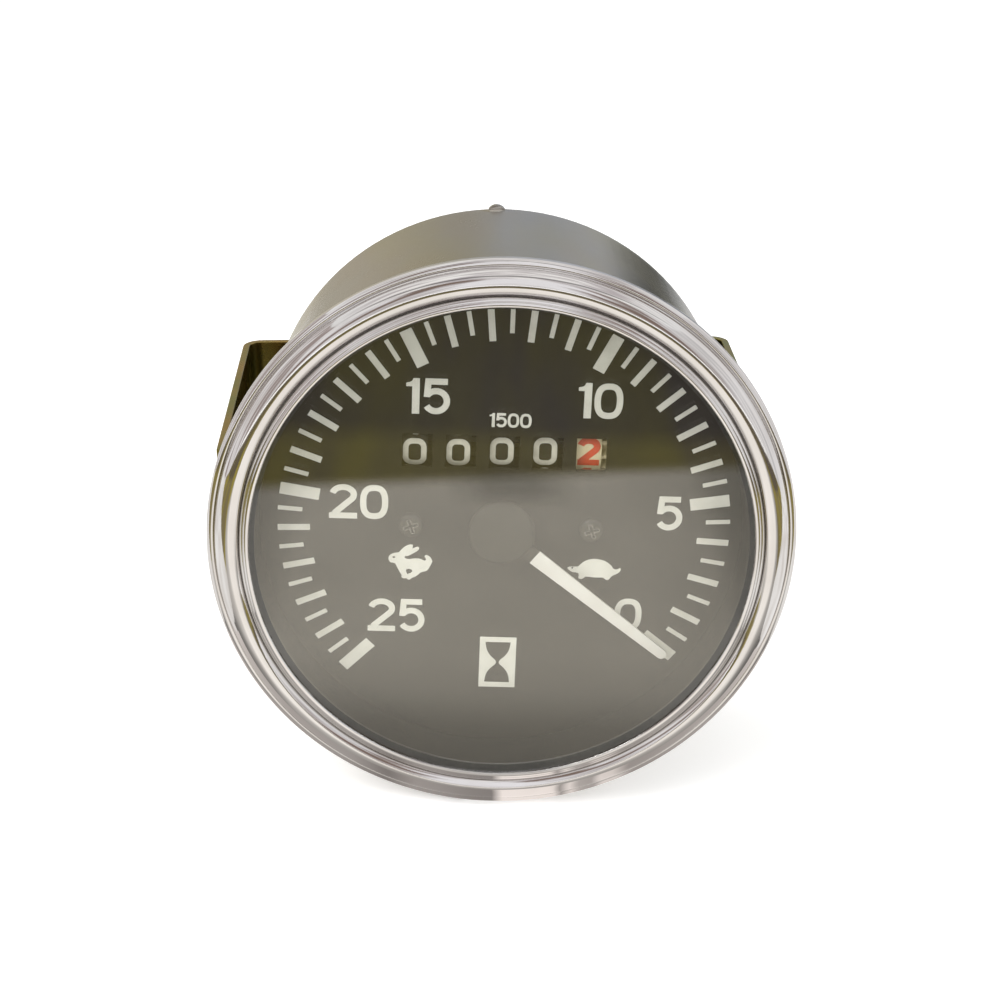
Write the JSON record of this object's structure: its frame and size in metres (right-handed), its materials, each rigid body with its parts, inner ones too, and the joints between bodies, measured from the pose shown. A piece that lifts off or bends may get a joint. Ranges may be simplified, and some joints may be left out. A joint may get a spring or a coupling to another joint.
{
  "type": "tractor rev counter with hour counter",
  "caption": "Round chrome-rimmed engine speed gauge with a sweep pointer and a drum hour counter, cable driven, held in a panel hole by a rear strap.",
  "frame": {"origin": "on the instrument's axis, in the plane where the bezel seats on the dash panel", "axes": "+Y along the axis from the dial towards the cable spigot, +Z to twelve o'clock, +X to three o'clock as the driver sees it; the dial faces -Y"},
  "size_m": [0.1117, 0.0912, 0.1108],
  "materials": {
    "zinc_can": "satin zinc plated sheet",
    "chrome": "bright plated",
    "glass": "clear flat glass",
    "black_rubber": "matt moulded",
    "black_paint": "matt black",
    "dial_paint": "matt black with off-white print",
    "dial_black": "semi-matt black",
    "pointer_white": "matt off-white with a black root",
    "steel": "ground",
    "drag_aluminium": "spun",
    "bronze": "bare",
    "brass_sheet": "dull",
    "zinc_bright": "bright zinc plated",
    "zinc_yellow": "yellow passivated zinc",
    "cast_zinc": "as cast",
    "black_drum": "black with off-white figures",
    "cream_drum": "cream with red figures",
    "cream_nylon": "moulded",
    "magnet": "cast alnico, bare",
    "field_iron": "soft iron, plated",
    "black_moulding": "moulded"
  },
  "bodies": {
    "case": {"case_can": "zinc_can", "bezel": "chrome", "lens": "glass", "lens_seal": "black_rubber", "inner_ring": "black_paint", "dial_plate": "dial_paint", "dial_screws": "dial_black", "hairspring": "bronze", "spring_stud": "brass_sheet", "front_plate": "brass_sheet", "front_bush": "bronze", "dial_pillars": "zinc_bright", "frame_pillars": "zinc_bright", "frame_screws": "zinc_yellow", "base_casting": "cast_zinc", "counter_frame": "zinc_bright", "carry_shaft": "steel", "drive_bush": "bronze", "drive_spigot": "cast_zinc", "spigot_screws": "zinc_bright", "strap": "zinc_yellow", "studs": "zinc_bright", "case_nuts": "zinc_yellow", "strap_washers": "zinc_bright", "strap_nuts": "zinc_yellow", "lamp_holder": "black_moulding", "lamp_bulb": "glass", "lamp_blade": "brass_sheet", "earth_blade": "brass_sheet"},
    "pointer_arbor": {"pointer": "pointer_white", "pointer_cap": "dial_black", "pointer_spindle": "steel", "drag_cup": "drag_aluminium"},
    "cable_input": {"drive_shaft": "steel", "ring_magnet": "magnet", "field_cup": "field_iron"},
    "cross_arbor": {"cross_shaft": "steel", "cross_wheel": "bronze"},
    "lay_arbor": {"lay_shaft": "steel", "lay_wheel": "bronze"},
    "tenths_arbor": {"counter_shaft": "steel", "hour_wheel": "cream_nylon", "drum_tenths": "cream_drum"},
    "ones_drum": {"drum_ones": "black_drum"},
    "tens_drum": {"drum_tens": "black_drum"},
    "hundreds_drum": {"drum_hundreds": "black_drum"},
    "thousands_drum": {"drum_thousands": "black_drum"},
    "ones_pinion": {"carry_pinion_ones": "cream_nylon"},
    "tens_pinion": {"carry_pinion_tens": "cream_nylon"},
    "hundreds_pinion": {"carry_pinion_hundreds": "cream_nylon"},
    "thousands_pinion": {"carry_pinion_thousands": "cream_nylon"}
  },
  "joints": [
    {"name": "pointer_swing", "type": "hinge", "parent": "case", "child": "pointer_arbor", "pos_m": [0, 0.006, 0], "axis": [0, -1, 0], "range_deg": [0, 266]},
    {"name": "input_spin", "type": "hinge", "parent": "case", "child": "cable_input", "pos_m": [0, 0.052, 0], "axis": [0, -1, 0], "continuous": true},
    {"name": "cross_spin", "type": "hinge", "parent": "case", "child": "cross_arbor", "pos_m": [0, 0.052, -0.0085], "axis": [1, 0, 0], "continuous": true},
    {"name": "lay_spin", "type": "hinge", "parent": "case", "child": "lay_arbor", "pos_m": [0.02344, 0.052, 0.0046], "axis": [0, 1, 0], "continuous": true},
    {"name": "tenths_spin", "type": "hinge", "parent": "case", "child": "tenths_arbor", "pos_m": [0, 0.0192, 0.0152], "axis": [1, 0, 0], "continuous": true},
    {"name": "ones_spin", "type": "hinge", "parent": "case", "child": "ones_drum", "pos_m": [0, 0.0192, 0.0152], "axis": [1, 0, 0], "continuous": true},
    {"name": "ones_carry", "type": "hinge", "parent": "case", "child": "ones_pinion", "pos_m": [0, 0.02337, 0.02635], "axis": [1, 0, 0], "continuous": true},
    {"name": "tens_spin", "type": "hinge", "parent": "case", "child": "tens_drum", "pos_m": [0, 0.0192, 0.0152], "axis": [1, 0, 0], "continuous": true},
    {"name": "tens_carry", "type": "hinge", "parent": "case", "child": "tens_pinion", "pos_m": [0, 0.02337, 0.02635], "axis": [1, 0, 0], "continuous": true},
    {"name": "hundreds_spin", "type": "hinge", "parent": "case", "child": "hundreds_drum", "pos_m": [0, 0.0192, 0.0152], "axis": [1, 0, 0], "continuous": true},
    {"name": "hundreds_carry", "type": "hinge", "parent": "case", "child": "hundreds_pinion", "pos_m": [0, 0.02337, 0.02635], "axis": [1, 0, 0], "continuous": true},
    {"name": "thousands_spin", "type": "hinge", "parent": "case", "child": "thousands_drum", "pos_m": [0, 0.0192, 0.0152], "axis": [1, 0, 0], "continuous": true},
    {"name": "thousands_carry", "type": "hinge", "parent": "case", "child": "thousands_pinion", "pos_m": [0, 0.02337, 0.02635], "axis": [1, 0, 0], "continuous": true}
  ],
  "couplings": [
    {"joint": "cross_spin", "follows": "input_spin", "ratio": -0.04},
    {"joint": "lay_spin", "follows": "input_spin", "ratio": -0.00088889},
    {"joint": "tenths_spin", "follows": "input_spin", "ratio": 0.000022222},
    {"joint": "ones_spin", "follows": "input_spin", "ratio": 0.0000022222},
    {"joint": "ones_carry", "follows": "input_spin", "ratio": -0.0000055556},
    {"joint": "tens_spin", "follows": "input_spin", "ratio": 0.00000022222},
    {"joint": "tens_carry", "follows": "input_spin", "ratio": -0.00000055556},
    {"joint": "hundreds_spin", "follows": "input_spin", "ratio": 0.000000022222},
    {"joint": "hundreds_carry", "follows": "input_spin", "ratio": -0.000000055556},
    {"joint": "thousands_spin", "follows": "input_spin", "ratio": 0.0000000022222},
    {"joint": "thousands_carry", "follows": "input_spin", "ratio": -0.0000000055556}
  ]
}
